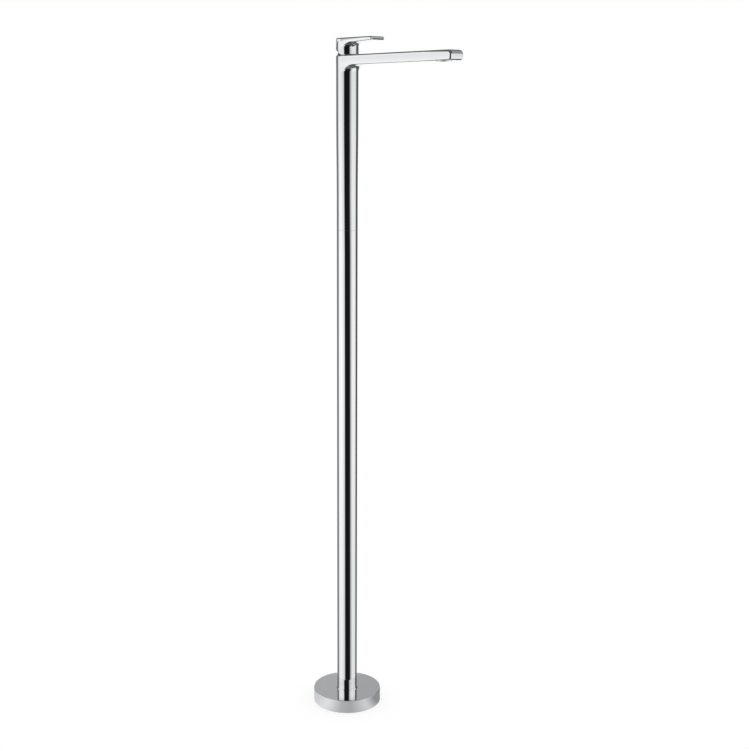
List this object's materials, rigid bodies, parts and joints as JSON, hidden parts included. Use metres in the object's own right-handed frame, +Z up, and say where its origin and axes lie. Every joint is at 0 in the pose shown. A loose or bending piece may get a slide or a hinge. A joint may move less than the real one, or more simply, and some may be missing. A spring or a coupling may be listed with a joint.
{
  "type": "floor-standing basin mixer",
  "caption": "Tall floor-standing single-lever basin mixer: round base, slim chrome column, flat rising spout and flat top lever.",
  "frame": {"origin": "on the floor, on the column's axis, at the centre of the floor flange's underside", "axes": "+Z up along the column, +X along the spout and the lever, hot side on +Y"},
  "size_m": [0.2652, 0.117, 1.1398],
  "materials": {
    "chrome": "polished chrome plate on brass or steel",
    "zinc_steel": "zinc plated steel plate",
    "raw_brass": "machined brass",
    "screw_steel": "bright stainless steel",
    "crimp_steel": "crimped stainless steel",
    "braided_hose": "rubber hose under a stainless braid",
    "black_rubber": "black rubber",
    "white_plastic": "white plastic",
    "dark_plastic": "black acetal plastic",
    "grey_plastic": "grey plastic",
    "red_plastic": "red plastic",
    "blue_plastic": "blue plastic",
    "ceramic": "ground alumina ceramic"
  },
  "bodies": {
    "stand": {"floor_flange": "zinc_steel", "floor_seal": "black_rubber", "base_cover": "chrome", "cover_bead": "chrome", "foot_socket": "chrome", "foot_screws": "screw_steel", "column_tube": "chrome", "joint_sleeve": "raw_brass", "joint_seals": "black_rubber", "grub_screws": "screw_steel", "hot_hose": "braided_hose", "cold_hose": "braided_hose", "hose_ferrules": "crimp_steel", "hose_tails": "raw_brass", "inlet_filters": "crimp_steel", "mixer_body": "chrome", "water_tube": "white_plastic", "tube_seals": "black_rubber", "outlet_block": "dark_plastic", "aerator_housing": "chrome", "aerator_insert": "grey_plastic", "aerator_washer": "black_rubber", "cartridge_housing": "white_plastic", "cartridge_base": "red_plastic", "port_seals": "black_rubber", "cartridge_seal": "black_rubber", "fixed_disc": "ceramic", "cartridge_nut": "raw_brass", "dome_ring": "chrome"},
    "rotor": {"cartridge_rotor": "blue_plastic", "spindle_pin": "screw_steel"},
    "lever": {"lever_spindle": "screw_steel", "lever_handle": "chrome", "lever_screw": "screw_steel", "screw_plug": "grey_plastic"},
    "disc": {"moving_disc": "ceramic", "disc_carrier": "blue_plastic"}
  },
  "joints": [
    {"name": "lever_swivel", "type": "hinge", "parent": "stand", "child": "rotor", "pos_m": [0, 0, 1.1134], "axis": [0, 0, 1], "range_deg": [-45, 45]},
    {"name": "lever_tilt", "type": "hinge", "parent": "rotor", "child": "lever", "pos_m": [0, 0, 1.1134], "axis": [0, -1, 0], "range_deg": [0, 25]},
    {"name": "disc_slide", "type": "slide", "parent": "rotor", "child": "disc", "axis": [1, 0, 0], "range_m": [0, 0.006]}
  ],
  "couplings": [
    {"joint": "disc_slide", "follows": "lever_tilt", "m_per_rad": 0.01356}
  ]
}
